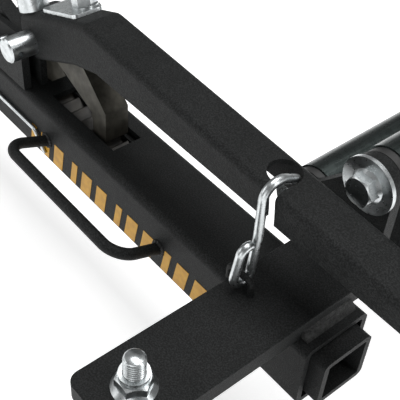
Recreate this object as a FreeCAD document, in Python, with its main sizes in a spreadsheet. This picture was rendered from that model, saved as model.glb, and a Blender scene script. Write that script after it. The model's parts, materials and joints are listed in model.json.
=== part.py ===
import FreeCAD, Part
import math
import os
import re
import Sketcher

# Foot-pedal ratcheting wheel dolly: two roller arms on castors, joined by a telescoping crossbar.
# The inner crossbar tube slides through the outer one and is drawn in by a pawl under a foot lever.
# Drawing frame: X along the crossbar towards the near arm, Y towards the rollers, Z up.
# Its zero is the corner of the near arm's inner edge, the crossbar's open side and the crossbar's top.
# frame_x, frame_y and frame_z carry that corner to the frame of the finished part, on the floor.

Vector = FreeCAD.Vector
doc = FreeCAD.newDocument("WheelDolly")
dims = doc.addObject("Spreadsheet::Sheet", "Dims")

DIMENSIONS = {
    "frame_x": 229.0, "frame_y": -163.5, "frame_z": 127.0,
    # crossbar
    "tube_size": 50.0, "tube_wall": 4.0, "tube_corner": 5.5, "tube_near": 60.0, "tube_far": -340.0,
    "inner_size": 38.0, "inner_wall": 4.0, "inner_corner": 4.5, "inner_near": 70.0, "inner_far": -643.0,
    "liner_size": 41.4, "liner_bore": 38.6, "liner_length": 24.0, "liner_inset": 6.0,
    # arms: a flat bar across the crossbar, the same at both ends
    "far_edge": -586.0, "arm_width": 50.0, "arm_length": 557.0, "arm_thick": 12.0, "arm_left": -115.0,
    "arm_corner": 7.0, "weld_leg": 4.0,
    # two-lobed roller brackets
    "bracket_thick": 8.0, "lobe_radius": 16.0, "bracket_left": 60.0, "bracket_right": 382.0,
    "low_out": -11.5, "low_up": 26.5, "high_out": 33.0, "high_up": 73.0,
    "valley_out": 5.8, "valley_up": 5.5, "valley_round": 9.0,
    # rollers
    "roller_size": 33.7, "roller_wall": 3.2, "roller_start": 74.0, "roller_length": 302.0,
    "shaft_size": 16.0, "bush_flange": 5.4, "bush_depth": 18.0, "bush_size": 31.6, "running_gap": 0.08,
    "bolt_size": 10.0, "bolt_hex": 17.0, "bolt_head": 7.5, "bolt_flange": 21.0, "bolt_reach": 26.0,
    "washer_size": 35.0, "washer_thick": 2.6,
    # castors
    "stem_size": 12.0, "stem_top": 36.5, "nut_hex": 18.0, "nut_height": 8.2, "nut_flange": 24.8,
    "nut_skirt": 3.0, "nut_collar": 16.6, "race_size": 46.0, "race_thick": 5.0, "stem_inset": 25.0,
    "crown_gap": 0.6, "crown_thick": 4.0, "fork_width": 40.0, "fork_wall": 3.0, "fork_crown": 46.0,
    "wheel_size": 100.0, "wheel_width": 30.0, "wheel_trail": 32.0, "axle_size": 8.0, "axle_end": 5.5,
    "sleeve_size": 12.0, "core_size": 76.0, "core_web": 8.0, "hub_size": 26.0, "axle_boss": 12.0,
    # lift handle, a bent round bar
    "handle_bar": 8.0, "handle_near": -70.0, "handle_far": -202.0, "handle_drop": 28.5,
    "handle_reach": 33.0, "handle_rise": 13.0, "handle_bend": 15.0,
    # lever
    "lever_width": 30.0, "lever_wall": 3.5, "lever_round": 5.0, "pivot_x": -229.0, "pivot_z": 38.0,
    "lever_end": 170.0, "lever_top": 76.8, "lever_fall": 0.0525, "lever_under": 55.6,
    "bend_x": -164.0, "heel_x": -249.0, "heel_top": 53.0, "heel_under": 18.0,
    "hook_hole": 20.0, "hole_x": 1.5, "hole_y": 26.5, "latch_slot": 7.6,
    # pedal
    "pedal_start": 121.82, "pedal_length": 63.0, "pedal_width": 76.0, "pedal_thick": 5.0,
    "rib_height": 2.5, "rib_width": 4.0,
    # pivot
    "ear_thick": 5.0, "ear_head": 12.0, "ear_foot_far": -298.0, "ear_foot_near": -227.0,
    "gusset_thick": 6.0, "gusset_top": 27.0,
    "pin_size": 18.0, "pin_left": -10.5, "pin_right": 62.0, "pin_hole": 4.0, "spacer_size": 24.0,
    # drive pawl and its slot
    "pawl_x": -201.0, "pawl_z": 47.0, "pawl_width": 18.4, "pawl_hub": 11.0, "pawl_pin": 8.0,
    "slot_far": -212.0, "slot_near": -138.0, "slot_width": 23.0, "tip_depth": 3.4,
    # holding pawl and its slot
    "hold_x": -272.0, "hold_z": 15.0, "hold_width": 11.0, "hold_hub": 9.0, "hold_pin": 8.0,
    "hold_slot_far": -268.0, "hold_slot_near": -240.0, "hold_slot_width": 12.0,
    # ratchet rack in the inner tube
    "rack_far": -520.0, "rack_near": -130.0, "rack_width": 15.0, "rack_height": 14.0, "rack_sink": 1.0,
    "tooth_pitch": 12.0, "tooth_depth": 6.0,
    # latch hook and staple
    "hook_x": 6.5, "hook_foot_x": 9.0, "hook_wire": 5.6,
    "eye_y": -2.2, "eye_up": 29.5, "eye_half_width": 6.6, "eye_half_height": 13.5, "eye_lean": 12.0,
    "staple_wire": 4.0, "staple_span": 18.0, "staple_x": 8.0, "staple_y": -4.1, "staple_up": 22.0,
}


def fill_sheet():
    """Write every driving dimension to the sheet under its own name."""
    for row, (name, value) in enumerate(DIMENSIONS.items(), start=1):
        dims.set(f"A{row}", name)
        dims.set(f"B{row}", str(value))
        dims.setAlias(f"B{row}", name)
    doc.recompute()


fill_sheet()
WORD = re.compile(r"[a-z]+(?:_[a-z]+)+")
parts = {}


def bound(text):
    """Turn a formula on dimension names into one that names the sheet."""
    return WORD.sub(lambda found: "Dims." + found.group(0), text)


def size(text):
    """The present value of a formula on dimension names."""
    return float(dims.evalExpression(bound(text)))


def bind(thing, **formulas):
    """Bind properties of an object to formulas on dimension names."""
    for name, formula in formulas.items():
        thing.setExpression(name, bound(formula))


def move(thing, at, turn=0.0, axis=(0, 0, 1)):
    """Place an object by formulas for X, Y and Z, turned about an axis."""
    thing.Placement = FreeCAD.Placement(Vector(0, 0, 0), FreeCAD.Rotation(Vector(*axis), turn))
    for letter, formula in zip("xyz", at):
        thing.setExpression("Placement.Base." + letter, bound(formula))
    return thing


def name_part(thing, label, at=("0", "0", "0"), turn=0.0):
    """Name a finished sub-part and place it in the part's own frame."""
    thing.Label = label
    shift = ("frame_x", "frame_y", "frame_z")
    move(thing, [f"{own} + {frame}" for own, frame in zip(at, shift)], turn)
    parts[label] = thing
    return thing


# ---- PartDesign helpers -------------------------------------------------------------------------

def new_body(name):
    return doc.addObject("PartDesign::Body", name)


def new_sketch(body, plane, height="0"):
    """A sketch on one of the body's origin planes, raised along the plane's normal."""
    sketch = body.newObject("Sketcher::SketchObject", "Sketch")
    support = [feature for feature in body.Origin.OriginFeatures if feature.Role == plane]
    sketch.AttachmentSupport = [(support[0], "")]
    sketch.MapMode = "FlatFace"
    sketch.setExpression("AttachmentOffset.Base.z", bound(height))
    return sketch


def pin_point(sketch, edge, end, place):
    """Dimension a sketch point from the sketch's origin."""
    for kind, formula in zip(("DistanceX", "DistanceY"), place):
        index = sketch.addConstraint(Sketcher.Constraint(kind, -1, 1, edge, end, size(formula)))
        sketch.setExpression(f"Constraints[{index}]", bound(formula))


def outline(sketch, corners):
    """A closed outline through corners given as pairs of formulas."""
    places = [Vector(size(u), size(v), 0) for u, v in corners]
    first = sketch.GeometryCount
    count = len(places)
    for index, start in enumerate(places):
        sketch.addGeometry(Part.LineSegment(start, places[(index + 1) % count]))
    for index in range(count):
        after = first + (index + 1) % count
        sketch.addConstraint(Sketcher.Constraint("Coincident", first + index, 2, after, 1))
    for index, corner in enumerate(corners):
        pin_point(sketch, first + index, 1, corner)
    return sketch


def rectangle(sketch, left, right, low, high):
    return outline(sketch, [(left, low), (right, low), (right, high), (left, high)])


def circle(sketch, centre, diameter):
    place = Vector(size(centre[0]), size(centre[1]), 0)
    index = sketch.addGeometry(Part.Circle(place, Vector(0, 0, 1), size(diameter) / 2))
    pin_point(sketch, index, 3, centre)
    limit = sketch.addConstraint(Sketcher.Constraint("Diameter", index, size(diameter)))
    sketch.setExpression(f"Constraints[{limit}]", bound(diameter))
    return sketch


def grow(body, kind, sketch, length, symmetric):
    feature = body.newObject("PartDesign::" + kind, kind)
    feature.Profile = sketch
    feature.SideType = "Symmetric" if symmetric else "One side"
    feature.setExpression("Length", bound(length))
    doc.recompute()
    return feature


def pad(body, sketch, length, symmetric=True):
    return grow(body, "Pad", sketch, length, symmetric)


def pocket(body, sketch, length):
    """Cut both ways from the sketch, and make sure that something was cut."""
    before = body.Shape.Volume
    feature = grow(body, "Pocket", sketch, length, True)
    if body.Shape.Volume > before - 0.01:
        raise RuntimeError("a pocket of " + body.Name + " cuts nothing")
    return feature


def round_edges(body, radius, wanted, kind="Fillet"):
    """Fillet or chamfer the edges whose middle point and direction a test accepts."""
    base = body.Tip
    names = []
    for index, edge in enumerate(base.Shape.Edges, start=1):
        middle = edge.valueAt((edge.FirstParameter + edge.LastParameter) / 2)
        along = edge.tangentAt((edge.FirstParameter + edge.LastParameter) / 2)
        straight = edge.Curve.TypeId == "Part::GeomLine"
        if wanted(middle, along, straight):
            names.append(f"Edge{index}")
    feature = body.newObject("PartDesign::" + kind, kind)
    feature.Base = (base, names)
    feature.setExpression("Radius" if kind == "Fillet" else "Size", bound(radius))
    doc.recompute()
    return feature


def is_along(direction, axis):
    return abs(direction.dot(Vector(*axis))) > 0.999


# ---- Part helpers -------------------------------------------------------------------------------

def cylinder(diameter, length, at=("0", "0", "0"), axis="z"):
    rod = doc.addObject("Part::Cylinder", "Cylinder")
    bind(rod, Radius=f"({diameter}) / 2", Height=length)
    turns = {"z": (0.0, (0, 0, 1)), "y": (-90.0, (1, 0, 0)), "x": (90.0, (0, 1, 0))}
    turn, about = turns[axis]
    return move(rod, at, turn, about)


def cone(low, high, length, at=("0", "0", "0")):
    taper = doc.addObject("Part::Cone", "Cone")
    bind(taper, Radius1=f"({low}) / 2", Radius2=f"({high}) / 2", Height=length)
    return move(taper, at)


def box(length, width, height, at=("0", "0", "0")):
    block = doc.addObject("Part::Box", "Box")
    bind(block, Length=length, Width=width, Height=height)
    return move(block, at)


def hexagon(across_flats, length, at=("0", "0", "0")):
    prism = doc.addObject("Part::Prism", "Prism")
    prism.Polygon = 6
    bind(prism, Circumradius=f"({across_flats}) / 2 / cos(30)", Height=length)
    return move(prism, at)


def joined(*pieces):
    whole = doc.addObject("Part::MultiFuse", "Fuse")
    whole.Shapes = list(pieces)
    return whole


def less(base, *tools):
    """A base with tools cut away."""
    for tool in tools:
        cut = doc.addObject("Part::Cut", "Cut")
        cut.Base = base
        cut.Tool = tool
        base = cut
    return base


def group(*pieces):
    """Equal separate solids that share one node."""
    several = doc.addObject("Part::Compound", "Group")
    several.Links = list(pieces)
    return several


def bar(points, bends, diameter, name):
    """A round bar along straight runs joined by tangent arcs, in plain millimetre points."""
    runs = [Vector(*point) for point in points]
    edges = []
    start = runs[0]
    for index in range(1, len(runs) - 1):
        corner = runs[index]
        back = (runs[index - 1] - corner).normalize()
        onward = (runs[index + 1] - corner).normalize()
        half = back.getAngle(onward) / 2
        radius = bends[index - 1]
        leg = radius / math.tan(half)
        into = corner + back * leg
        out = corner + onward * leg
        middle = corner + (back + onward).normalize() * (radius / math.sin(half) - radius)
        edges.append(Part.LineSegment(start, into).toShape())
        edges.append(Part.Arc(into, middle, out).toShape())
        start = out
    edges.append(Part.LineSegment(start, runs[-1]).toShape())
    path = Part.Wire(edges)
    ring = Part.Wire([Part.Circle(runs[0], runs[1] - runs[0], diameter / 2).toShape()])
    solid = path.makePipeShell([ring], True, False)
    feature = doc.addObject("Part::Feature", name)
    feature.Shape = solid
    return feature


def coil(wire, radius, pitch, turns, name):
    """A closed-ended coil of round wire about the Z axis."""
    helix = Part.makeHelix(pitch, pitch * turns, radius)
    start = helix.Edges[0].valueAt(helix.Edges[0].FirstParameter)
    along = helix.Edges[0].tangentAt(helix.Edges[0].FirstParameter)
    ring = Part.Wire([Part.Circle(start, along, wire / 2).toShape()])
    feature = doc.addObject("Part::Feature", name)
    feature.Shape = Part.Wire(helix.Edges).makePipeShell([ring], True, True)
    return feature


# ---- Crossbar -----------------------------------------------------------------------------------

def square_tube(name, length, outside, wall, corner, slots):
    """A square tube along +X with its left top edge on the axis, and slots in its top wall."""
    body = new_body(name)
    pad(body, rectangle(new_sketch(body, "YZ_Plane"), "0", outside, f"-({outside})", "0"), length, False)
    round_edges(body, corner, lambda middle, along, straight: is_along(along, (1, 0, 0)))
    inside = f"{outside} - {wall}"
    hollow = rectangle(new_sketch(body, "YZ_Plane"), wall, inside, f"-({inside})", f"-{wall}")
    pocket(body, hollow, f"3 * ({length})")
    round_edges(body, f"{corner} - {wall} + 0.5", lambda middle, along, straight: straight
                and is_along(along, (1, 0, 0)) and abs(middle.y - size(outside) / 2) < size(outside) / 2 - 3.5
                and abs(middle.z + size(outside) / 2) < size(outside) / 2 - 3.5)
    for start, end, width in slots:
        middle = f"({outside}) / 2"
        top = new_sketch(body, "XY_Plane")
        rectangle(top, start, end, f"{middle} - ({width}) / 2", f"{middle} + ({width}) / 2")
        pocket(body, top, f"2 * {wall} + 3")
    return body


def crossbar():
    slots = [("slot_far - tube_far", "slot_near - tube_far", "slot_width"),
             ("hold_slot_far - tube_far", "hold_slot_near - tube_far", "hold_slot_width")]
    outer = square_tube("OuterTube", "tube_near - tube_far", "tube_size", "tube_wall", "tube_corner", slots)
    name_part(outer, "outer_tube", ("tube_far", "0", "0"))
    inner_length = "inner_near - inner_far"
    slots = [("rack_far - inner_far", "rack_near - inner_far", "rack_width + 0.4")]
    inner = square_tube("InnerTube", inner_length, "inner_size", "inner_wall", "inner_corner", slots)
    edge = "(tube_size - inner_size) / 2"
    name_part(inner, "inner_tube", ("inner_far", edge, f"-({edge})"))


def guide_liners():
    """Two nylon sleeves inside the outer tube, one at each end, that guide the inner tube."""
    sleeves = []
    for start in ("tube_near - liner_inset - liner_length", "tube_far + liner_inset"):
        body = new_body("Liner")
        edge = "liner_size / 2"
        face = new_sketch(body, "YZ_Plane")
        pad(body, rectangle(face, f"-{edge}", edge, f"-{edge}", edge), "liner_length", False)
        hole = "liner_bore / 2"
        bore = new_sketch(body, "YZ_Plane")
        pocket(body, rectangle(bore, f"-{hole}", hole, f"-{hole}", hole), "3 * liner_length")
        round_edges(body, "tube_corner - tube_wall + 0.5", lambda middle, along, straight:
                    is_along(along, (1, 0, 0)) and abs(middle.y) > size("liner_bore") / 2 + 0.3)
        sleeves.append(move(body, (start, "tube_size / 2", "-tube_size / 2")))
    name_part(group(*sleeves), "guide_liners")


def ratchet_rack():
    """A bar of saw teeth in the inner tube's top slot; a pawl pushes their steep faces towards +X."""
    body = new_body("Rack")
    length = "rack_near - rack_far"
    side = rectangle(new_sketch(body, "XZ_Plane"), "0", length, "-rack_height", "0")
    pad(body, side, "rack_width")
    tooth = new_sketch(body, "XZ_Plane")
    outline(tooth, [("0", "0.5"), ("tooth_pitch", "0.5"), ("tooth_pitch", "-tooth_depth"), ("1", "0")])
    cut = pocket(body, tooth, "2 * rack_width")
    count = int(size(length) / size("tooth_pitch"))
    pattern = body.newObject("PartDesign::LinearPattern", "Teeth")
    pattern.Originals = [cut]
    along = [feature for feature in body.Origin.OriginFeatures if feature.Role == "X_Axis"]
    pattern.Direction = (along[0], [""])
    pattern.Occurrences = count
    pattern.setExpression("Length", bound(f"tooth_pitch * {count - 1}"))
    body.Tip = pattern
    top = "(tube_size - inner_size) / 2 + rack_sink"
    name_part(body, "ratchet_rack", ("rack_far", "tube_size / 2", f"-({top})"))


# ---- Arms ---------------------------------------------------------------------------------------
# "side" is near or far. A far piece is a near one turned half round, so its outward way is -X.

SIDES = {"near": ("0", "", 0.0), "far": ("far_edge", "-", 180.0)}


def outward(side, distance):
    """X at a distance outwards from an arm's inner edge."""
    edge, sign, turn = SIDES[side]
    return f"{edge} + ({distance})" if side == "near" else f"{edge} - ({distance})"


def arm_plate(side):
    body = new_body("ArmPlate")
    half = "arm_width / 2"
    reach = "arm_length / 2"
    top = rectangle(new_sketch(body, "XY_Plane"), f"-{half}", half, f"-{reach}", reach)
    pad(body, top, "arm_thick", False)
    round_edges(body, "arm_corner", lambda middle, along, straight: is_along(along, (0, 0, 1)))
    holes = new_sketch(body, "XY_Plane")
    for sign in ("-", ""):
        circle(holes, ("0", f"{sign}(arm_length / 2 - stem_inset)"), "stem_size + 0.6")
    pocket(body, holes, "3 * arm_thick")
    round_edges(body, "0.8", lambda middle, along, straight: abs(middle.z - size("arm_thick")) < 0.01
                and (abs(middle.x) > size(half) - 8 or abs(middle.y) > size(reach) - 8))
    name_part(body, side + "_arm_plate", (outward(side, half), "arm_left + arm_length / 2", "0"))


def near_weld_beads():
    """Weld beads where the near arm crosses the crossbar."""
    beads = []
    for place, turn in ((("arm_width", "tube_corner", "0"), 0.0), (("0", "tube_size - tube_corner", "0"), 180.0)):
        body = new_body("WeldBead")
        section = new_sketch(body, "XZ_Plane")
        outline(section, [("0", "0"), ("weld_leg + 1", "0"), ("weld_leg - 0.4", "weld_leg - 2"),
                          ("2", "weld_leg"), ("0", "weld_leg + 1.5")])
        pad(body, section, "tube_size - 2 * tube_corner")
        middle = list(place)
        middle[1] = "tube_size / 2"
        beads.append(move(body, middle, turn))
    name_part(group(*beads), "near_weld_beads")


def far_arm_spacer():
    """A pad that lifts the far arm off the lower inner tube, to the height of the near arm."""
    gap = "(tube_size - inner_size) / 2"
    pad_block = box("arm_width - 4", "inner_size - 2 * inner_corner", gap)
    edge = f"{gap} + inner_corner"
    name_part(pad_block, "far_arm_spacer", ("far_edge - arm_width + 2", edge, f"-({gap})"))


def roller_bracket():
    """A two-lobed plate: its outward way is +X, its mid-thickness is Y = 0."""
    body = new_body("Bracket")
    face = new_sketch(body, "XZ_Plane")
    outline(face, [("0", "arm_thick"), ("high_out + lobe_radius", "arm_thick"),
                   ("high_out + lobe_radius", "high_up"), ("high_out", "high_up"),
                   ("high_out - valley_out", "high_up + valley_up"),
                   ("low_out - valley_out", "low_up + valley_up"), ("low_out", "low_up"),
                   ("low_out", "low_up - lobe_radius + 0.2")])
    pad(body, face, "bracket_thick")
    for out, up in (("low_out", "low_up"), ("high_out", "high_up")):
        pad(body, circle(new_sketch(body, "XZ_Plane"), (out, up), "2 * lobe_radius"), "bracket_thick")
    round_edges(body, "valley_round", in_valley)
    for out, up in (("low_out", "low_up"), ("high_out", "high_up")):
        hole = circle(new_sketch(body, "XZ_Plane"), (out, up), "bolt_size + 0.6")
        pocket(body, hole, "3 * bracket_thick")
    return body


def in_valley(middle, along, straight):
    """The two concave corners between the lobes, where the strip meets each lobe."""
    if not is_along(along, (0, 1, 0)):
        return False
    run = Vector(size("high_out - low_out"), 0, size("high_up - low_up"))
    offset = Vector(middle.x - size("low_out"), 0, middle.z - size("low_up"))
    share = offset.dot(run) / run.Length ** 2
    side = run.cross(offset).y
    return 0.05 < share < 0.95 and side < -1.0 and straight


def roller_brackets(side):
    pieces = []
    turn = SIDES[side][2]
    for start in ("bracket_left", "bracket_right"):
        middle = f"{start} + bracket_thick / 2"
        pieces.append(move(roller_bracket(), (outward(side, "0"), middle, "0"), turn))
    name_part(group(*pieces), side + "_roller_brackets")


def flange_bolt():
    """A hexagon flange bolt with its washer; the washer's bearing face is Z = 0, the shank runs to -Z."""
    shank = cylinder("bolt_size", "bolt_reach + washer_thick", ("0", "0", "-bolt_reach"))
    skirt = cone("bolt_flange", "bolt_hex + 0.5", "2.2", ("0", "0", "washer_thick"))
    head = hexagon("bolt_hex", "bolt_head", ("0", "0", "washer_thick + 0.6"))
    crown = cone("bolt_hex / cos(30) + 2 * bolt_head", "bolt_hex - 1.2", "bolt_head + 0.9",
                 ("0", "0", "washer_thick"))
    shaped = doc.addObject("Part::Common", "Head")
    shaped.Base = head
    shaped.Tool = crown
    washer = cylinder("washer_size", "washer_thick")
    return joined(shank, skirt, shaped, washer)


def roller_fasteners(side):
    """Bolts and washers on the outer faces of both brackets, into both shafts."""
    bolts = []
    shafts = []
    for out, up in (("low_out", "low_up"), ("high_out", "high_up")):
        place = outward(side, out)
        bolts.append(move(flange_bolt(), (place, "bracket_left", up), 90.0, (1, 0, 0)))
        bolts.append(move(flange_bolt(), (place, "bracket_right + bracket_thick", up), -90.0, (1, 0, 0)))
        start = "bracket_left + bracket_thick"
        length = "bracket_right - bracket_left - bracket_thick"
        rod = cylinder("shaft_size", length, (place, start, up), "y")
        depth = "bolt_reach - bracket_thick + 1"
        drilled = [cylinder("bolt_size + 0.4", depth, (place, start, up), "y"),
                   cylinder("bolt_size + 0.4", depth, (place, f"bracket_right - ({depth})", up), "y")]
        shafts.append(less(rod, *drilled))
    name_part(group(*bolts), side + "_roller_bolts")
    name_part(group(*shafts), side + "_roller_shafts")


def roller(side, level, out, up):
    """A steel tube on two flanged nylon bushes that turn on the fixed shaft."""
    outside = cylinder("roller_size", "roller_length", axis="y")
    inside = cylinder("roller_size - 2 * roller_wall", "roller_length + 2", ("0", "-1", "0"), "y")
    place = (outward(side, out), "roller_start", up)
    label = f"{side}_{level}_roller"
    name_part(less(outside, inside), label + "_tube", place)
    bushes = []
    for start, spigot in (("-bush_flange", "0"), ("roller_length", "roller_length - bush_depth")):
        flange = cylinder("bush_size", "bush_flange", ("0", start, "0"), "y")
        plug = cylinder("roller_size - 2 * roller_wall - 0.1", "bush_depth", ("0", spigot, "0"), "y")
        bore = cylinder("shaft_size + 2 * running_gap", "roller_length + 60", ("0", "-30", "0"), "y")
        bushes.append(less(joined(flange, plug), bore))
    name_part(group(*bushes), label + "_bushes", place)


# ---- Castors ------------------------------------------------------------------------------------

def castor_stem():
    """Threaded stem with the upper race above Z = 0 underside, and the peened head under the crown."""
    race = cylinder("race_size", "race_thick", ("0", "0", "-race_thick"))
    low = "race_thick + 2 * crown_gap + crown_thick"
    stem = cylinder("stem_size", f"stem_top + {low} + 4", ("0", "0", f"-({low}) - 4"))
    head = cylinder("stem_size + 8", "4", ("0", "0", f"-({low}) - 4"))
    return joined(race, stem, head)


def castor_nut():
    skirt = cone("nut_flange", "nut_hex + 1", "nut_skirt")
    body = hexagon("nut_hex", "nut_height", ("0", "0", "0.8"))
    crown = cone("nut_hex / cos(30) + 2 * nut_height", "nut_hex - 1", "nut_height + 1")
    collar = cylinder("nut_collar", "3.4", ("0", "0", "nut_height + 0.4"))
    shaped = doc.addObject("Part::Common", "NutHex")
    shaped.Base = body
    shaped.Tool = crown
    bore = cylinder("stem_size + 0.3", "nut_height + 8", ("0", "0", "-1"))
    return less(joined(skirt, shaped, collar), bore)


def castor_places():
    """Stem positions: name, arm side, X and Y."""
    places = []
    for side in ("near", "far"):
        for hand, across in (("left", "arm_left + stem_inset"), ("right", "arm_left + arm_length - stem_inset")):
            places.append((f"{side}_{hand}", side, outward(side, "arm_width / 2"), across))
    return places


def castor_stems_and_nuts():
    for side in ("near", "far"):
        stems = []
        nuts = []
        for name, own_side, along, across in castor_places():
            if own_side == side:
                stems.append(move(castor_stem(), (along, across, "0")))
                nuts.append(move(castor_nut(), (along, across, "arm_thick")))
        name_part(group(*stems), side + "_caster_stems")
        name_part(group(*nuts), side + "_caster_nuts")


AXLE_DROP = "frame_z - wheel_size / 2"


def castor_fork(name, place):
    """A pressed fork: crown under the race, two legs out to the axle."""
    body = new_body("Fork")
    top = "-race_thick - crown_gap"
    low = f"-({AXLE_DROP})"
    legs = new_sketch(body, "XZ_Plane")
    outline(legs, [("-fork_crown / 2", top), ("fork_crown / 2", top), ("fork_crown / 2 + 3", f"{top} - 14"),
                   ("wheel_trail + axle_boss", low), ("wheel_trail + 5", f"{low} - axle_boss"),
                   ("wheel_trail - 5", f"{low} - axle_boss"), ("wheel_trail - axle_boss - 2", f"{low} + 4"),
                   ("-fork_crown / 2", f"{top} - 16")])
    pad(body, legs, "fork_width")
    inner = new_sketch(body, "XZ_Plane")
    rectangle(inner, "-2 * fork_crown", "2 * fork_crown", f"{low} - 30", f"{top} - crown_thick")
    pocket(body, inner, "fork_width - 2 * fork_wall")
    round_edges(body, "5", lambda middle, along, straight: is_along(along, (0, 1, 0))
                and middle.z < size(low) + 6)
    round_edges(body, "2.5", lambda middle, along, straight: is_along(along, (1, 0, 0))
                and abs(middle.z - size(top)) < 0.01)
    stem_hole = circle(new_sketch(body, "XY_Plane"), ("0", "0"), "stem_size + 2 * running_gap")
    pocket(body, stem_hole, "60")
    axle_hole = circle(new_sketch(body, "XZ_Plane"), ("wheel_trail", low), "axle_size + 0.2")
    pocket(body, axle_hole, "2 * fork_width")
    name_part(body, name + "_caster_fork", place)


def castor_axle(name, place):
    """Axle bolt, spacer sleeve and lock nut."""
    low = f"-({AXLE_DROP})"
    reach = "fork_width / 2 + axle_end"
    spot = ("wheel_trail", f"-({reach})", low)
    bolt = cylinder("axle_size", f"2 * ({reach}) - 1", ("wheel_trail", f"1 - ({reach})", low), "y")
    sleeve = cylinder("sleeve_size", "fork_width - 2 * fork_wall - 0.2",
                      ("wheel_trail", "0.1 - fork_width / 2 + fork_wall", low), "y")
    head = move(hexagon("13", "axle_end"), spot, -90.0, (1, 0, 0))
    nut = move(hexagon("13", "axle_end"), ("wheel_trail", "fork_width / 2", low), -90.0, (1, 0, 0))
    name_part(joined(bolt, sleeve, head, nut), name + "_caster_axle", place)


def castor_wheel(name, place):
    """A moulded core turned about Y on the sleeve, with a soft tread ring."""
    at_axle = (f"{place[0]} + wheel_trail", place[1], f"-({AXLE_DROP})")
    half = "wheel_width / 2"
    core = new_body("Core")
    rim = "core_size / 2"
    hub = "hub_size / 2"
    web = "core_web / 2"
    bore = "sleeve_size / 2 + running_gap"
    section = new_sketch(core, "XY_Plane")
    outline(section, [(bore, f"{half} + 1"), (hub, f"{half} + 1"), (f"{hub} + 1", web),
                      (f"{rim} - 7", web), (f"{rim} - 5", f"{half} - 2"), (rim, f"{half} - 2"),
                      (rim, f"2 - {half}"), (f"{rim} - 5", f"2 - {half}"), (f"{rim} - 7", f"-{web}"),
                      (f"{hub} + 1", f"-{web}"), (hub, f"-1 - {half}"), (bore, f"-1 - {half}")])
    spin(core, section)
    name_part(core, name + "_caster_core", at_axle)
    tread = new_body("Tread")
    edge = "wheel_size / 2"
    section = new_sketch(tread, "XY_Plane")
    outline(section, [("core_size / 2", f"2 - {half}"), (f"{edge} - 6", f"-{half}"), (f"{edge} - 1.5", f"4 - {half}"),
                      (edge, f"9 - {half}"), (edge, f"{half} - 9"), (f"{edge} - 1.5", f"{half} - 4"),
                      (f"{edge} - 6", half), ("core_size / 2", f"{half} - 2")])
    spin(tread, section)
    name_part(tread, name + "_caster_tread", at_axle)


def spin(body, sketch):
    """Turn a sketch through a full circle about the body's Y axis."""
    feature = body.newObject("PartDesign::Revolution", "Revolution")
    feature.Profile = sketch
    axis = [part for part in body.Origin.OriginFeatures if part.Role == "Y_Axis"]
    feature.ReferenceAxis = (axis[0], [""])
    feature.Angle = 360
    doc.recompute()
    return feature


# ---- Handle, staple and wires -------------------------------------------------------------------

def lift_handle():
    """A U of round bar welded to the crossbar's open side, tilted a little upwards."""
    low = -size("handle_drop")
    high = low + size("handle_rise")
    out = -size("handle_reach")
    near = size("handle_near")
    far = size("handle_far")
    bend = size("handle_bend")
    points = [(near, 0.0, low), (near, out, high), (far, out, high), (far, 0.0, low)]
    rod = bar(points, [bend, bend], size("handle_bar"), "Handle")
    beyond = box("handle_near - handle_far + 20", "10", "tube_size", ("handle_far - 10", "0", "-tube_size"))
    name_part(less(rod, beyond), "lift_handle")


def side_spring_wire():
    """A stiff spring wire along the crossbar's open side, turned down behind the handle's far root."""
    wire = 3.0
    off = -wire / 2 - 0.2
    foot = size("handle_far") - 8.0
    tail = size("ear_foot_far") - 12.0
    points = [(foot + 6.0, off, -41.0), (foot - 6.0, off, -26.0), (tail, off, -26.0), (tail, off, -8.0)]
    name_part(bar(points, [6.0, 6.0], wire, "SpringWire"), "side_spring_wire")


def hook_staple():
    """A bent wire staple standing on the near arm, which the hook's eye swings on."""
    wire = size("staple_wire")
    half = size("staple_span") / 2
    middle = size("staple_x")
    top = size("staple_up")
    foot = size("arm_thick")
    across = size("staple_y")
    points = [(middle - half, across, foot), (middle - half, across, top),
              (middle + half, across, top), (middle + half, across, foot)]
    name_part(bar(points, [3.5, 3.5], wire, "Staple"), "hook_staple")


def lever_hook():
    """The latch hook: one bent wire with an eye round the staple and a bill that drops into the lever."""
    wire = size("hook_wire")
    pivot_y = size("staple_y")
    pivot_z = size("staple_up")
    # The bill lies close to an arc about the staple, so it leaves the hole without touching the rim.
    surface = size("lever_top - lever_fall * hook_x")
    rim_y = size("hole_y - 0.475 * hook_hole")
    sweep = math.hypot(rim_y - pivot_y, surface - pivot_z) + wire / 2 + 0.9
    start = math.atan2(surface - pivot_z, rim_y - pivot_y)
    tip = (pivot_y + sweep * math.cos(start - 0.22), pivot_z + sweep * math.sin(start - 0.22))
    crest = (pivot_y + sweep * math.cos(start - 0.01), pivot_z + sweep * math.sin(start - 0.01))
    # The wire then clears the lever's rounded edge and runs down beside it.
    side = size("(tube_size - lever_width) / 2")
    hug = size("lever_round") + wire / 2 + 0.6
    corner_y = side + size("lever_round")
    corner_z = surface - size("lever_round")
    shoulder = (corner_y - hug * math.tan(math.pi / 8), corner_z + hug)
    elbow = (corner_y - hug, corner_z + hug * math.tan(math.pi / 8))
    neck = (corner_y - hug - 1.6, size("eye_up") + 15.5)
    # The eye is an oval of the same wire, leaning with the shank and left open by a hair.
    lean = math.radians(size("eye_lean"))
    across = size("eye_half_width")
    along = size("eye_half_height")
    eye = []
    for u, v in ((across, -along), (-across, -along), (-across, along), (-0.5, along - 0.5)):
        eye.append((size("eye_y") + u * math.cos(lean) + v * math.sin(lean),
                    size("eye_up") - u * math.sin(lean) + v * math.cos(lean)))
    path = []
    for y, z in [tip, crest, shoulder, elbow, neck] + eye:
        rise = min(max((z - size("eye_up")) / (surface - size("eye_up")), 0.0), 1.0)
        path.append((size("hook_foot_x") + rise * size("hook_x - hook_foot_x"), y, z))
    bends = [9.0, hug - 0.2, hug - 0.2, 20.0, across - 0.1, across - 0.1, across - 1.5]
    name_part(bar(path, bends, wire, "Hook"), "lever_hook")


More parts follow.
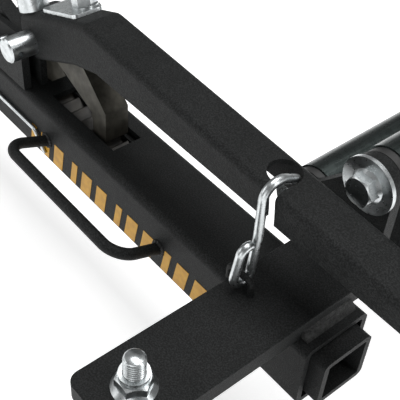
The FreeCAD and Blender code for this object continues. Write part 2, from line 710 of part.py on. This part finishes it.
# ---- Lever and pedal ----------------------------------------------------------------------------

def lever_surface(along):
    """Height of the long leg's top face at an X."""
    return f"lever_top - lever_fall * ({along})"


def lever_channel():
    """A cranked channel, open below, with a hook hole and a latch slot through its open side."""
    body = new_body("Lever")
    crank = lever_surface("bend_x")
    side = new_sketch(body, "XZ_Plane")
    outline(side, [("heel_x + 12", "heel_under"), ("bend_x - 14.5", "lever_under - 9.6"),
                   ("bend_x + 23", "lever_under + 1.4"), ("lever_end", "lever_under - 1.1"),
                   ("lever_end", lever_surface("lever_end")), ("bend_x", crank), ("heel_x", "heel_top")])
    pad(body, side, "lever_width")
    round_edges(body, "14", lambda middle, along, straight: is_along(along, (0, 1, 0))
                and middle.x < size("heel_x") + 13)
    round_edges(body, "26", lambda middle, along, straight: is_along(along, (0, 1, 0))
                and abs(middle.x - size("bend_x") + 14.5) < 1)
    round_edges(body, "8", lambda middle, along, straight: is_along(along, (0, 1, 0))
                and abs(middle.x - size("bend_x")) < 1)
    round_edges(body, "lever_round", lambda middle, along, straight: abs(along.y) < 0.01
                and abs(middle.z - top_line(middle.x)) < 1.5 and middle.x > size("heel_x") + 4)
    hollow = new_sketch(body, "XZ_Plane")
    outline(hollow, [("heel_x - 30", "-20"), ("lever_end + 20", "-20"),
                     ("lever_end + 20", "lever_top - lever_fall * (lever_end + 20) - lever_wall"),
                     ("bend_x + 0.6", f"{crank} - lever_wall"),
                     ("heel_x - 30", "heel_top - lever_wall - 12.4")])
    pocket(body, hollow, "lever_width - 2 * lever_wall")
    bores = new_sketch(body, "XZ_Plane")
    circle(bores, ("pivot_x", "pivot_z"), "pin_size + 2 * running_gap")
    pocket(body, bores, "2 * lever_width")
    blind = circle(new_sketch(body, "XZ_Plane"), ("pawl_x", "pawl_z"), "pawl_pin + 0.1")
    pocket(body, blind, "lever_width - 2 * lever_wall + 3.4")
    hole = new_sketch(body, "XY_Plane", "lever_top")
    circle(hole, ("hole_x", "hole_y - tube_size / 2"), "hook_hole")
    pocket(body, hole, "20")
    name_part(cut_latch_slot(body), "lever_channel", ("0", "tube_size / 2", "0"))


def top_line(x):
    """Height of the lever's top line over both legs."""
    if x >= size("bend_x"):
        return size("lever_top") - size("lever_fall") * x
    crank = size(lever_surface("bend_x"))
    share = (size("bend_x") - x) / (size("bend_x") - size("heel_x"))
    return crank + (size("heel_top") - crank) * share


def cut_latch_slot(body):
    """Clear the hook's path out of the channel: a slot on an arc about the lever's pivot."""
    reach = math.hypot(size("hook_x - pivot_x"), size("lever_top - pivot_z + 4"))
    start = math.degrees(math.atan2(size("lever_top - pivot_z + 14"), size("hook_x - pivot_x")))
    rings = []
    for radius in (reach + size("latch_slot") / 2, reach - size("latch_slot") / 2):
        sector = doc.addObject("Part::Cylinder", "Sector")
        sector.Radius = radius
        sector.Angle = 14.0
        bind(sector, Height="hole_y")
        turned = FreeCAD.Rotation(Vector(1, 0, 0), -90) * FreeCAD.Rotation(Vector(0, 0, 1), -start)
        sector.Placement = FreeCAD.Placement(Vector(0, 0, 0), turned)
        for letter, formula in zip("xyz", ("pivot_x", "-tube_size / 2", "pivot_z")):
            sector.setExpression("Placement.Base." + letter, bound(formula))
        rings.append(sector)
    return less(body, less(*rings))


def foot_pedal():
    """A ribbed tread plate on the lever's near end, laid along its top."""
    plate = box("pedal_length", "pedal_width", "pedal_thick", ("0", "-pedal_width / 2", "0"))
    pieces = [plate]
    count = 6
    for index in range(count):
        place = f"4 + {index} * (pedal_length - 8 - rib_width) / {count - 1}"
        pieces.append(box("rib_width", "pedal_width - 8", "rib_height + 1", (place, "4 - pedal_width / 2",
                                                                         "pedal_thick - 1")))
    whole = doc.addObject("Part::MultiFuse", "Pedal")
    whole.Shapes = pieces
    pedal = doc.addObject("Part::Compound", "PedalPlaced")
    pedal.Links = [whole]
    tilt = math.degrees(math.atan(size("lever_fall")))
    move(whole, ("0", "0", "0"), tilt, (0, 1, 0))
    name_part(pedal, "foot_pedal", ("pedal_start", "tube_size / 2", f"{lever_surface('pedal_start')} + 0.02"))


def heel_tilt():
    """Slope of the short leg's top, in degrees."""
    crank = size(lever_surface("bend_x"))
    return math.degrees(math.atan2(crank - size("heel_top"), size("bend_x - heel_x")))


def hinge_plate():
    """A thin plated bracket on the short leg's top."""
    body = new_body("HingePlate")
    top = new_sketch(body, "XY_Plane")
    outline(top, [("-17", "-10"), ("-16", "11"), ("-25", "15"), ("-60", "15"), ("-60", "-10")])
    pad(body, top, "2.5", False)
    round_edges(body, "3", lambda middle, along, straight: is_along(along, (0, 0, 1)))
    piece = group(move(body, ("0", "0", "0.3"), -heel_tilt(), (0, 1, 0)))
    name_part(piece, "hinge_plate", ("bend_x", "tube_size / 2", lever_surface("bend_x")))


def hinge_bolts():
    """Two plated fasteners on the short leg: a hexagon bolt and a taller adjusting post behind it."""
    hex_bolt = joined(cylinder("18", "1.6", ("-27", "5", "2.8")), hexagon("14", "9", ("-27", "5", "4.2")))
    post = joined(cylinder("21", "20", ("-76", "-7", "0.3")), hexagon("17", "8", ("-76", "-7", "20")))
    piece = group(hex_bolt, post)
    move(piece, ("0", "0", "0"), -heel_tilt(), (0, 1, 0))
    name_part(group(piece), "hinge_bolts", ("bend_x", "tube_size / 2", lever_surface("bend_x")))


# ---- Pivot and pawls ----------------------------------------------------------------------------

def pivot_ear():
    """One ear plate, standing on the crossbar between the lever's walls, with a head round the pin."""
    body = new_body("Ear")
    face = new_sketch(body, "XZ_Plane")
    outline(face, [("ear_foot_far", "0"), ("ear_foot_near", "0"), ("ear_foot_near", "pivot_z"),
                   ("pivot_x", "pivot_z + ear_head - 1"), ("pivot_x - 10", "pivot_z + 4"),
                   ("pivot_x - 20", "pivot_z - 9"), ("ear_foot_far + 8", "26"), ("ear_foot_far", "20")])
    pad(body, face, "ear_thick")
    pad(body, circle(new_sketch(body, "XZ_Plane"), ("pivot_x", "pivot_z"), "2 * ear_head"), "ear_thick")
    bores = new_sketch(body, "XZ_Plane")
    circle(bores, ("pivot_x", "pivot_z"), "pin_size + 0.1")
    circle(bores, ("hold_x", "hold_z"), "hold_pin + 0.1")
    pocket(body, bores, "3 * ear_thick")
    return body


def side_gusset():
    """A low plate on the crossbar's top edge beside the lever's heel, under the pivot pin."""
    body = new_body("Gusset")
    face = new_sketch(body, "XZ_Plane")
    outline(face, [("ear_foot_far + 10", "0"), ("ear_foot_near - 2", "0"), ("ear_foot_near - 2", "gusset_top"),
                   ("ear_foot_near - 24", "gusset_top"), ("ear_foot_far + 10", "9")])
    pad(body, face, "gusset_thick")
    return body


def pivot_group():
    offset = "lever_width / 2 - lever_wall - 0.5 - ear_thick / 2"
    left = move(pivot_ear(), ("0", f"tube_size / 2 - ({offset})", "0"))
    right = move(pivot_ear(), ("0", f"tube_size / 2 + ({offset})", "0"))
    low = move(side_gusset(), ("0", "gusset_thick / 2 + 0.5", "0"))
    high = move(side_gusset(), ("0", "tube_size - gusset_thick / 2 - 0.5", "0"))
    name_part(group(left, right, low, high), "pivot_ears")
    length = "pin_right - pin_left"
    body = new_body("Pin")
    pad(body, circle(new_sketch(body, "XZ_Plane"), ("0", "0"), "pin_size"), length)
    round_edges(body, "1.2", lambda middle, along, straight: not straight, "Chamfer")
    pocket(body, circle(new_sketch(body, "YZ_Plane"), (f"6.5 - ({length}) / 2", "0"), "pin_hole"), "3 * pin_size")
    pocket(body, circle(new_sketch(body, "XY_Plane"), ("0", f"({length}) / 2 - 5"), "pin_hole"), "3 * pin_size")
    name_part(body, "pivot_pin", ("pivot_x", "(pin_right + pin_left) / 2", "pivot_z"))
    clip = [(0.0, 0.0, 15.0), (0.0, 0.0, -15.0), (0.0, 9.0, -19.0)]
    ring = bar(clip, [3.0], 3.2, "Clip")
    name_part(ring, "pivot_clip", ("pivot_x", "pin_right - 5", "pivot_z"))
    gap = "lever_width - 2 * lever_wall - 1 - 2 * ear_thick"
    hub = cylinder("spacer_size", gap, ("pivot_x", "0", "pivot_z"), "y")
    spacer = new_body("StopBlock")
    face = new_sketch(spacer, "XZ_Plane")
    outline(face, [("-9", "-6"), ("-2", "-34"), ("8", "-33"), ("27", "-17"), ("10", "3")])
    pad(spacer, face, gap)
    half = f"({gap}) / 2"
    move(spacer, ("pivot_x", half, "pivot_z"))
    bore = cylinder("pin_size + 0.1", "60", ("pivot_x", "-10", "pivot_z"), "y")
    name_part(less(joined(hub, spacer), bore), "pivot_spacer", ("0", f"tube_size / 2 - {half}", "0"))


def drive_pawl():
    """The driving pawl: a hub on the lever's pin, a tapering strut and a square foot over the rack."""
    body = new_body("DrivePawl")
    face = new_sketch(body, "XZ_Plane")
    outline(face, [("pawl_x - 6.5", "pawl_z - 15"), ("slot_near - 28", "14"), ("slot_near - 26", "-tip_depth"),
                   ("slot_near - 11.5", "-tip_depth"), ("slot_near - 11.5", "22"),
                   ("slot_near - 35.5", "45"), ("pawl_x + 8", "pawl_z + 7.5"), ("pawl_x - 8", "pawl_z + 7.5")])
    pad(body, face, "pawl_width")
    pad(body, circle(new_sketch(body, "XZ_Plane"), ("pawl_x", "pawl_z"), "2 * pawl_hub"), "pawl_width")
    bore = circle(new_sketch(body, "XZ_Plane"), ("pawl_x", "pawl_z"), "pawl_pin + 2 * running_gap")
    pocket(body, bore, "2 * pawl_width")
    round_edges(body, "2", lambda middle, along, straight: is_along(along, (0, 1, 0)) and middle.z < 5)
    name_part(body, "drive_pawl", ("0", "tube_size / 2", "0"))
    reach = "lever_width - 2 * lever_wall + 3"
    pin = cylinder("pawl_pin", reach, ("pawl_x", f"(tube_size - ({reach})) / 2", "pawl_z"), "y")
    name_part(group(pin), "drive_pawl_pin")
    spring = coil(0.9, 5.4, 1.0, 0.8, "PawlSpring")
    turned = group(move(spring, ("0", "0", "0"), -90.0, (1, 0, 0)))
    name_part(turned, "drive_pawl_spring", ("pawl_x", "(tube_size + pawl_width) / 2 + 0.75", "pawl_z"))


def holding_pawl():
    """The holding pawl: tip over the rack, hub on a pin between the ears, and a foot release behind."""
    body = new_body("HoldingPawl")
    face = new_sketch(body, "XZ_Plane")
    outline(face, [("hold_x - 4", "hold_z - 8"), ("hold_x + 12", "-tip_depth"), ("hold_x + 22", "-tip_depth"),
                   ("hold_x + 22", "4"), ("hold_x + 6", "hold_z + 8"), ("hold_x - 30", "hold_z + 22"),
                   ("hold_x - 60", "hold_z + 24"), ("hold_x - 60", "hold_z + 19"), ("hold_x - 32", "hold_z + 15")])
    pad(body, face, "hold_width")
    pad(body, circle(new_sketch(body, "XZ_Plane"), ("hold_x", "hold_z"), "2 * hold_hub"), "hold_width")
    bore = circle(new_sketch(body, "XZ_Plane"), ("hold_x", "hold_z"), "hold_pin + 2 * running_gap")
    pocket(body, bore, "2 * hold_width")
    wide = new_sketch(body, "XZ_Plane")
    rectangle(wide, "hold_x - 60", "hold_x - 34", "hold_z + 19", "hold_z + 24")
    pad(body, wide, "44")
    name_part(body, "holding_pawl", ("0", "tube_size / 2", "0"))
    pin = cylinder("hold_pin", "tube_size - 15", ("hold_x", "7.5", "hold_z"), "y")
    name_part(group(pin), "holding_pawl_pin")
    spring = coil(1.2, 5.2, 1.5, 0.8, "HoldSpring")
    turned = group(move(spring, ("0", "0", "0"), -90.0, (1, 0, 0)))
    place = "tube_size / 2 + lever_width / 2 - lever_wall + 0.6"
    name_part(turned, "holding_pawl_spring", ("hold_x", place, "hold_z"))


# ---- The whole machine --------------------------------------------------------------------------

def build():
    crossbar()
    guide_liners()
    ratchet_rack()
    near_weld_beads()
    far_arm_spacer()
    for side in ("near", "far"):
        arm_plate(side)
        roller_brackets(side)
        roller_fasteners(side)
        roller(side, "low", "low_out", "low_up")
        roller(side, "high", "high_out", "high_up")
    castor_stems_and_nuts()
    for name, side, along, across in castor_places():
        place = (along, across, "0")
        castor_fork(name, place)
        castor_axle(name, place)
        castor_wheel(name, place)
    lift_handle()
    side_spring_wire()
    hook_staple()
    lever_hook()
    lever_channel()
    foot_pedal()
    hinge_plate()
    hinge_bolts()
    pivot_group()
    drive_pawl()
    holding_pawl()


def check():
    """Every object is up to date and every sub-part is a valid solid or group of solids."""
    doc.recompute()
    for thing in doc.Objects:
        if "Invalid" in thing.State or "Error" in thing.State:
            raise RuntimeError(f"{thing.Label} ({thing.Name}) failed")
    for label, thing in parts.items():
        shape = thing.Shape
        if shape.isNull() or not shape.isValid() or not shape.Solids:
            raise RuntimeError(label + " is not a valid solid")


def write():
    os.makedirs("parts", exist_ok=True)
    for label, thing in parts.items():
        thing.Shape.exportStep(f"parts/{label}.step")
    print(len(parts), "parts written")


build()
check()
write()
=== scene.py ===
import bmesh
import bpy
import json
import math
from mathutils import Matrix, Vector


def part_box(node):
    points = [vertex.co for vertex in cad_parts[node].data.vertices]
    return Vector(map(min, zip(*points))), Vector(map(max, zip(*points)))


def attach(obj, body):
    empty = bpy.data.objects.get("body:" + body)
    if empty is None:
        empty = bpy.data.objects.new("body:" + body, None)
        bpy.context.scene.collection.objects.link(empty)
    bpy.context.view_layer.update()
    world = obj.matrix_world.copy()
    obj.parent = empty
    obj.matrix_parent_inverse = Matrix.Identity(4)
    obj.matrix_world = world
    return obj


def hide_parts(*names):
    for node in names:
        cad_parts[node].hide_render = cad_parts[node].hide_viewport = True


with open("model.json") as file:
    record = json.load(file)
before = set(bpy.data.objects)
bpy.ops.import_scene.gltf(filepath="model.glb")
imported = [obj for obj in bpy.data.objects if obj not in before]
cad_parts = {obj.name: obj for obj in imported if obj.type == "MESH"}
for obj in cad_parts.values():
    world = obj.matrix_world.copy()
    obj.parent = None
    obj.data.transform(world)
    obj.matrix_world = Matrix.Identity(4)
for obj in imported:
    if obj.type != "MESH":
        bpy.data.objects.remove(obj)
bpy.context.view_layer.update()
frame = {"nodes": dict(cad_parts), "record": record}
scene = bpy.context.scene

# ---- Places, in metres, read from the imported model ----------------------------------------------

tube_low, tube_high = (Vector(corner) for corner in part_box("outer_tube"))
plate_low = Vector(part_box("near_arm_plate")[0])


# ---- Materials ----------------------------------------------------------------------------------

class Nodes:
    """A new material with its shader at hand and short calls for the nodes it is made of."""

    def __init__(self, name, colour, roughness, metallic=0.0):
        self.material = bpy.data.materials.new(name)
        self.material.use_nodes = True
        self.tree = self.material.node_tree
        self.shader = self.tree.nodes["Principled BSDF"]
        self.shader.inputs["Base Color"].default_value = (*colour, 1.0)
        self.shader.inputs["Roughness"].default_value = roughness
        self.shader.inputs["Metallic"].default_value = metallic
        self.place = self.tree.nodes.new("ShaderNodeTexCoord").outputs["Object"]

    def link(self, source, target):
        self.tree.links.new(source, target)

    def stretched(self, scale):
        """Object coordinates with a different scale along each axis."""
        mapping = self.tree.nodes.new("ShaderNodeMapping")
        mapping.inputs["Scale"].default_value = scale
        self.link(self.place, mapping.inputs["Vector"])
        return mapping.outputs["Vector"]

    def noise(self, scale, detail=3.0, roughness=0.55, place=None):
        noise = self.tree.nodes.new("ShaderNodeTexNoise")
        noise.inputs["Scale"].default_value = scale
        noise.inputs["Detail"].default_value = detail
        noise.inputs["Roughness"].default_value = roughness
        self.link(place or self.place, noise.inputs["Vector"])
        return noise.outputs["Fac"]

    def ramp(self, source, low, high, first, second):
        """Blend between two colours as the source goes from low to high."""
        ramp = self.tree.nodes.new("ShaderNodeValToRGB")
        ramp.color_ramp.elements[0].position = low
        ramp.color_ramp.elements[1].position = high
        ramp.color_ramp.elements[0].color = (*first, 1.0)
        ramp.color_ramp.elements[1].color = (*second, 1.0)
        self.link(source, ramp.inputs["Fac"])
        return ramp.outputs["Color"]

    def span(self, source, low, high):
        """The source's 0 to 1 taken to another range."""
        span = self.tree.nodes.new("ShaderNodeMapRange")
        span.inputs["To Min"].default_value = low
        span.inputs["To Max"].default_value = high
        self.link(source, span.inputs["Value"])
        return span.outputs["Result"]

    def mixed(self, amount, first, second):
        mix = self.tree.nodes.new("ShaderNodeMix")
        mix.data_type = "RGBA"
        self.link(amount, mix.inputs[0])
        self.link(first, mix.inputs[6])
        self.link(second, mix.inputs[7])
        return mix.outputs[2]

    def bump(self, height, strength, distance, after=None):
        bump = self.tree.nodes.new("ShaderNodeBump")
        bump.inputs["Strength"].default_value = strength
        bump.inputs["Distance"].default_value = distance
        self.link(height, bump.inputs["Height"])
        if after:
            self.link(after, bump.inputs["Normal"])
        return bump.outputs["Normal"]

    def colour(self, source):
        self.link(source, self.shader.inputs["Base Color"])

    def roughness(self, source):
        self.link(source, self.shader.inputs["Roughness"])

    def normal(self, source):
        self.link(source, self.shader.inputs["Normal"])


def black_coat():
    """Fine textured black powder coat: a satin skin of small pimples, slightly mottled."""
    made = Nodes("black_coat", (0.010, 0.011, 0.011), 0.55)
    grain = made.noise(1150.0, 2.0, 0.6)
    mottle = made.noise(60.0, 3.0)
    speckle = made.ramp(grain, 0.42, 0.66, (0.004, 0.004, 0.004), (0.034, 0.036, 0.036))
    calm = made.ramp(mottle, 0.3, 0.7, (0.006, 0.007, 0.007), (0.012, 0.013, 0.013))
    made.colour(made.mixed(made.span(mottle, 0.35, 0.75), calm, speckle))
    made.roughness(made.span(made.noise(240.0), 0.50, 0.68))
    made.normal(made.bump(grain, 0.75, 0.00045))
    made.shader.inputs["Specular IOR Level"].default_value = 0.16
    return made.material


def weld_skin():
    """Painted weld bead: lumpy and gritty, with spatter caught under the coat."""
    made = Nodes("weld_skin", (0.010, 0.011, 0.011), 0.5)
    lumps = made.noise(330.0, 4.0, 0.7)
    grit = made.noise(1500.0, 2.0, 0.7)
    made.colour(made.ramp(lumps, 0.35, 0.68, (0.003, 0.003, 0.003), (0.040, 0.041, 0.040)))
    made.roughness(made.span(grit, 0.35, 0.65))
    coarse = made.bump(lumps, 0.9, 0.0016)
    made.normal(made.bump(grit, 0.6, 0.0004, after=coarse))
    made.shader.inputs["Specular IOR Level"].default_value = 0.3
    return made.material


def zinc_plate():
    """Bright zinc: blue-white metal, faintly cloudy, with fine scuffs."""
    made = Nodes("zinc_plate", (0.56, 0.59, 0.60), 0.3, 1.0)
    cloud = made.noise(190.0, 4.0)
    made.colour(made.ramp(cloud, 0.3, 0.72, (0.46, 0.485, 0.49), (0.70, 0.73, 0.74)))
    made.roughness(made.span(made.noise(420.0, 3.0), 0.22, 0.36))
    scuff = made.noise(900.0, 2.0, place=made.stretched((1.0, 0.25, 1.0)))
    made.normal(made.bump(scuff, 0.10, 0.00008))
    return made.material


def bright_tube():
    """Drawn steel tube, plated: fine lines round the roller and a cooler, darker sheen."""
    made = Nodes("bright_tube", (0.065, 0.078, 0.075), 0.30, 1.0)
    lines = made.noise(700.0, 2.0, place=made.stretched((1.0, 0.05, 1.0)))
    made.colour(made.ramp(lines, 0.3, 0.7, (0.045, 0.056, 0.054), (0.085, 0.10, 0.097)))
    made.roughness(made.span(made.noise(260.0), 0.20, 0.36))
    made.normal(made.bump(lines, 0.12, 0.0001))
    return made.material


def bare_steel():
    """Oiled unpainted steel with a brown cast, rougher where it was cut."""
    made = Nodes("bare_steel", (0.05, 0.046, 0.038), 0.5, 0.65)
    patch = made.noise(110.0, 5.0)
    made.colour(made.ramp(patch, 0.30, 0.72, (0.026, 0.024, 0.018), (0.085, 0.080, 0.066)))
    made.roughness(made.span(made.noise(300.0), 0.34, 0.6))
    cut = made.noise(500.0, 3.0, place=made.stretched((0.3, 1.0, 0.3)))
    made.normal(made.bump(cut, 0.25, 0.0002))
    return made.material


def shade_darkened_rack():
    """The rack's teeth in steel kept very dark as painted shade for the shadow down in the slot, with
    worn brighter streaks.
    """
    # Base and ramp colours are kept very dark as painted shade, standing in for the shadow inside the
    # tube's slot.
    made = Nodes("shade_darkened_rack", (0.014, 0.013, 0.010), 0.4, 0.4)
    rack_streaks = made.noise(140.0, 4.0)
    made.colour(made.ramp(rack_streaks, 0.35, 0.75, (0.008, 0.007, 0.006), (0.034, 0.031, 0.025)))
    made.roughness(made.span(made.noise(260.0), 0.3, 0.6))
    made.normal(made.bump(rack_streaks, 0.3, 0.0003))
    return made.material


def moulded(name, colour, roughness, grain_scale, strength):
    """Moulded plastic or rubber with a fine matte grain."""
    made = Nodes(name, colour, roughness)
    tone = made.noise(45.0, 3.0)
    dark = tuple(0.75 * part for part in colour)
    light = tuple(1.3 * part for part in colour)
    made.colour(made.ramp(tone, 0.3, 0.7, dark, light))
    made.roughness(made.span(made.noise(150.0), roughness - 0.08, roughness + 0.1))
    made.normal(made.bump(made.noise(grain_scale, 2.0), strength, 0.0002))
    return made.material


def amber_vinyl():
    """Amber printed film, slightly worn."""
    made = Nodes("amber_vinyl", (0.50, 0.25, 0.008), 0.5)
    wear = made.noise(160.0, 4.0)
    made.colour(made.ramp(wear, 0.25, 0.6, (0.42, 0.205, 0.006), (0.56, 0.29, 0.010)))
    made.normal(made.bump(made.noise(800.0), 0.12, 0.0001))
    return made.material


FINISHES = {
    "black_coat": black_coat(),
    "zinc_plate": zinc_plate(),
    "bright_tube": bright_tube(),
    "bare_steel": bare_steel(),
    "nylon": moulded("nylon", (0.022, 0.022, 0.022), 0.45, 700.0, 0.2),
    "core_plastic": moulded("core_plastic", (0.060, 0.062, 0.065), 0.5, 600.0, 0.25),
    "tread_rubber": moulded("tread_rubber", (0.024, 0.024, 0.025), 0.7, 500.0, 0.5),
}
AMBER = amber_vinyl()
WELD = weld_skin()
SPECIAL_FINISHES = {"near_weld_beads": WELD, "ratchet_rack": shade_darkened_rack()}


def finish_nodes():
    """Give every CAD node the finish of its material slot."""
    slots = {entry["node"]: entry["material_slot"] for entry in frame["record"]["subparts"]}
    for name, node in frame["nodes"].items():
        material = SPECIAL_FINISHES.get(name, FINISHES[slots[name]])
        node.data.materials.clear()
        node.data.materials.append(material)


# ---- Mesh helpers -------------------------------------------------------------------------------

def new_piece(name, mesh, body, material, smooth=True):
    piece = bpy.data.objects.new(name, mesh)
    scene.collection.objects.link(piece)
    mesh.materials.append(material)
    for face in mesh.polygons:
        face.use_smooth = smooth
    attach(piece, body)
    return piece


def lathe(parts, profile, centre, segments=64):
    """Add a turned shape about a vertical axis to a bmesh; profile is (radius, height) pairs."""
    rings = []
    for radius, height in profile:
        ring = []
        for step in range(segments):
            angle = 2 * math.pi * step / segments
            ring.append(parts.verts.new((centre[0] + radius * math.cos(angle),
                                         centre[1] + radius * math.sin(angle), centre[2] + height)))
        rings.append(ring)
    for lower, upper in zip(rings, rings[1:]):
        for step in range(segments):
            after = (step + 1) % segments
            parts.faces.new((lower[step], lower[after], upper[after], upper[step]))
    parts.faces.new(list(reversed(rings[0])))
    parts.faces.new(rings[-1])


def thread_radius(turn, major, minor):
    """Radius of a 60-degree thread at a fraction of one turn."""
    share = turn % 1.0
    slope = 1.0 - abs(2.0 * share - 1.0)
    return minor + (major - minor) * min(max(slope * 1.5 - 0.25, 0.0), 1.0)


def threaded_rod(parts, centre, low, high, major, pitch, segments=48, steps_per_turn=8):
    """Add a rod with a real helical thread and a chamfered end."""
    minor = major - 0.61 * pitch
    chamfer = 0.7 * pitch
    narrowing = 1.3 * pitch
    count = int((high - low) / pitch * steps_per_turn)
    rings = []
    for level in range(count + 1):
        height = low + (high - low) * level / count
        taper = min(1.0, (high - height) / chamfer * 0.5 + 0.5)
        ring = []
        for step in range(segments):
            angle = 2 * math.pi * step / segments
            radius = thread_radius(height / pitch - step / segments, major, minor)
            radius = min(radius, major - (1.0 - taper) * narrowing)
            ring.append(parts.verts.new((centre[0] + radius * math.cos(angle),
                                         centre[1] + radius * math.sin(angle), height)))
        rings.append(ring)
    for lower, upper in zip(rings, rings[1:]):
        for step in range(segments):
            after = (step + 1) % segments
            parts.faces.new((lower[step], lower[after], upper[after], upper[step]))
    parts.faces.new(list(reversed(rings[0])))
    parts.faces.new(rings[-1])


def finished_mesh(name, parts):
    bmesh.ops.recalc_face_normals(parts, faces=parts.faces)
    mesh = bpy.data.meshes.new(name)
    parts.to_mesh(mesh)
    parts.free()
    return mesh


# ---- Pieces with more detail than the CAD nodes -------------------------------------------------

def caster_stems(side, body):
    """Caster stems with real threads, standing for the plain CAD ones."""
    node = side + "_caster_stems"
    low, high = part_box(node)
    parts = bmesh.new()
    along = (low[0] + high[0]) / 2
    race = 0.023
    stem_radius = 0.006
    thread_pitch = 0.00175
    cap_radius = 0.0004
    collar_radius = 0.0098
    plate_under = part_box(side + "_arm_plate")[0][2]
    for across in (low[1] + race, high[1] - race):
        centre = (along, across, 0.0)
        threaded_rod(parts, centre, plate_under + 0.001, high[2], stem_radius, thread_pitch)
        flange = [(cap_radius, -0.0002), (race - 0.001, -0.0002), (race, -0.001), (race, -0.0038),
                  (race - 0.0016, -0.005), (cap_radius, -0.005)]
        lathe(parts, flange, (along, across, plate_under))
        foot = low[2] - plate_under
        neck = [(stem_radius, -0.006), (stem_radius, foot + 0.003), (collar_radius, foot + 0.003),
                (collar_radius, foot + 0.0006), (collar_radius - 0.0008, foot)]
        lathe(parts, neck, (along, across, plate_under))
    piece = new_piece(side + "_threaded_stems", finished_mesh(node, parts), body,
                      FINISHES["zinc_plate"])
    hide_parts(node)


def decal():
    """Generic amber bars on the crossbar's open side; no lettering."""
    parts = bmesh.new()
    face = tube_low.y - 0.00025
    low = tube_high.z - 0.045
    high = tube_high.z - 0.025
    near = plate_low.x - 0.008
    count = 13
    step = 0.0176
    wide = 0.0115
    narrow = 0.0065
    lean = 0.004
    for index in range(count):
        right = near - index * step
        width = wide if index % 3 else narrow
        corners = [(right - width, low), (right, low), (right + lean, high), (right + lean - width, high)]
        front = [parts.verts.new((x, face, z)) for x, z in corners]
        back = [parts.verts.new((x, tube_low.y + 0.0001, z)) for x, z in corners]
        parts.faces.new(front)
        parts.faces.new(list(reversed(back)))
        for corner in range(4):
            after = (corner + 1) % 4
            parts.faces.new((front[corner], back[corner], back[after], front[after]))
    new_piece("amber_bars", finished_mesh("amber_bars", parts), "base", AMBER, smooth=False)


def weld_ring(name, centre, radius, thickness, axis, body):
    """A rippled weld bead round a bar's root."""
    parts = bmesh.new()
    around = 72
    across = 10
    ripples = 13
    ripple_depth = 0.16
    flattening = 0.8
    turn = axis.to_track_quat("Z", "Y").to_matrix()
    rings = []
    for step in range(around):
        angle = 2 * math.pi * step / around
        ripple = 1.0 + ripple_depth * math.sin(angle * ripples)
        ring = []
        for place in range(across):
            inner = 2 * math.pi * place / across
            out = radius + thickness * ripple * math.cos(inner)
            height = thickness * flattening * ripple * math.sin(inner)
            point = Vector((out * math.cos(angle), out * math.sin(angle), height))
            ring.append(parts.verts.new(centre + turn @ point))
        rings.append(ring)
    for step in range(around):
        lower = rings[step]
        upper = rings[(step + 1) % around]
        for place in range(across):
            after = (place + 1) % across
            parts.faces.new((lower[place], lower[after], upper[after], upper[place]))
    new_piece(name, finished_mesh(name, parts), body, WELD)


def handle_welds():
    low, high = (Vector(corner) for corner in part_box("lift_handle"))
    height = low.z + 0.0042
    for label, along in (("far", low.x + 0.004), ("near", high.x - 0.004)):
        centre = Vector((along, tube_low.y - 0.0002, height))
        weld_ring(f"handle_weld_{label}", centre, 0.0045, 0.0016, Vector((0, -1, 0)), "base")


# ---- Camera, floor and light --------------------------------------------------------------------

def camera():
    """Above the near arm's free corner, looking down along the crossbar to the lever's pivot."""
    lens = bpy.data.cameras.new("camera")
    lens.sensor_width = 36.0
    lens.lens = 76.68
    lens.clip_start = 0.01
    eye = bpy.data.objects.new("camera", lens)
    scene.collection.objects.link(eye)
    right = Vector((0.63839, 0.76768, 0.05591))
    up = Vector((-0.56259, 0.41580, 0.71456))
    back = Vector((0.52531, -0.48763, 0.69733))
    turn = Matrix((right, up, back)).transposed()
    eye.matrix_world = Matrix.Translation((0.44721, -0.39801, 0.50546)) @ turn.to_4x4()
    scene.camera = eye


def floor():
    mesh = bpy.data.meshes.new("floor")
    size = 30.0
    corners = [(-size, -size, 0), (size, -size, 0), (size, size, 0), (-size, size, 0)]
    mesh.from_pydata(corners, [], [(0, 1, 2, 3)])
    plane = bpy.data.objects.new("floor", mesh)
    scene.collection.objects.link(plane)
    made = Nodes("floor", (0.93, 0.93, 0.93), 0.9)
    made.shader.inputs["Specular IOR Level"].default_value = 0.1
    made.shader.inputs["Emission Color"].default_value = (1.0, 1.0, 1.0, 1.0)
    made.shader.inputs["Emission Strength"].default_value = 0.55
    mesh.materials.append(made.material)


def area_light(name, place, target, size, power):
    light = bpy.data.lights.new(name, "AREA")
    light.shape = "RECTANGLE"
    light.size = size[0]
    light.size_y = size[1]
    light.energy = power
    lamp = bpy.data.objects.new(name, light)
    scene.collection.objects.link(lamp)
    lamp.location = place
    lamp.rotation_euler = (Vector(target) - Vector(place)).to_track_quat("-Z", "Y").to_euler()


def lights():
    world = bpy.data.worlds.new("studio")
    world.use_nodes = True
    background = world.node_tree.nodes["Background"]
    background.inputs["Color"].default_value = (1.0, 1.0, 1.0, 1.0)
    background.inputs["Strength"].default_value = 0.22
    scene.world = world
    area_light("overhead", (0.1, 0.3, 1.9), (0.1, 0.0, 0.1), (1.6, 1.2), 26.0)
    area_light("left_card", (-0.9, -1.3, 0.9), (0.1, -0.1, 0.1), (1.2, 0.9), 6.0)
    area_light("front_card", (0.8, -1.3, 0.45), (0.2, -0.1, 0.15), (0.9, 0.7), 3.0)
    area_light("right_strip", (1.5, 0.4, 0.9), (0.2, 0.0, 0.15), (0.3, 1.4), 7.0)


finish_nodes()
caster_stems("near", "base")
caster_stems("far", "inner_frame")
decal()
handle_welds()
camera()
floor()
lights()
scene.view_settings.view_transform = "Standard"
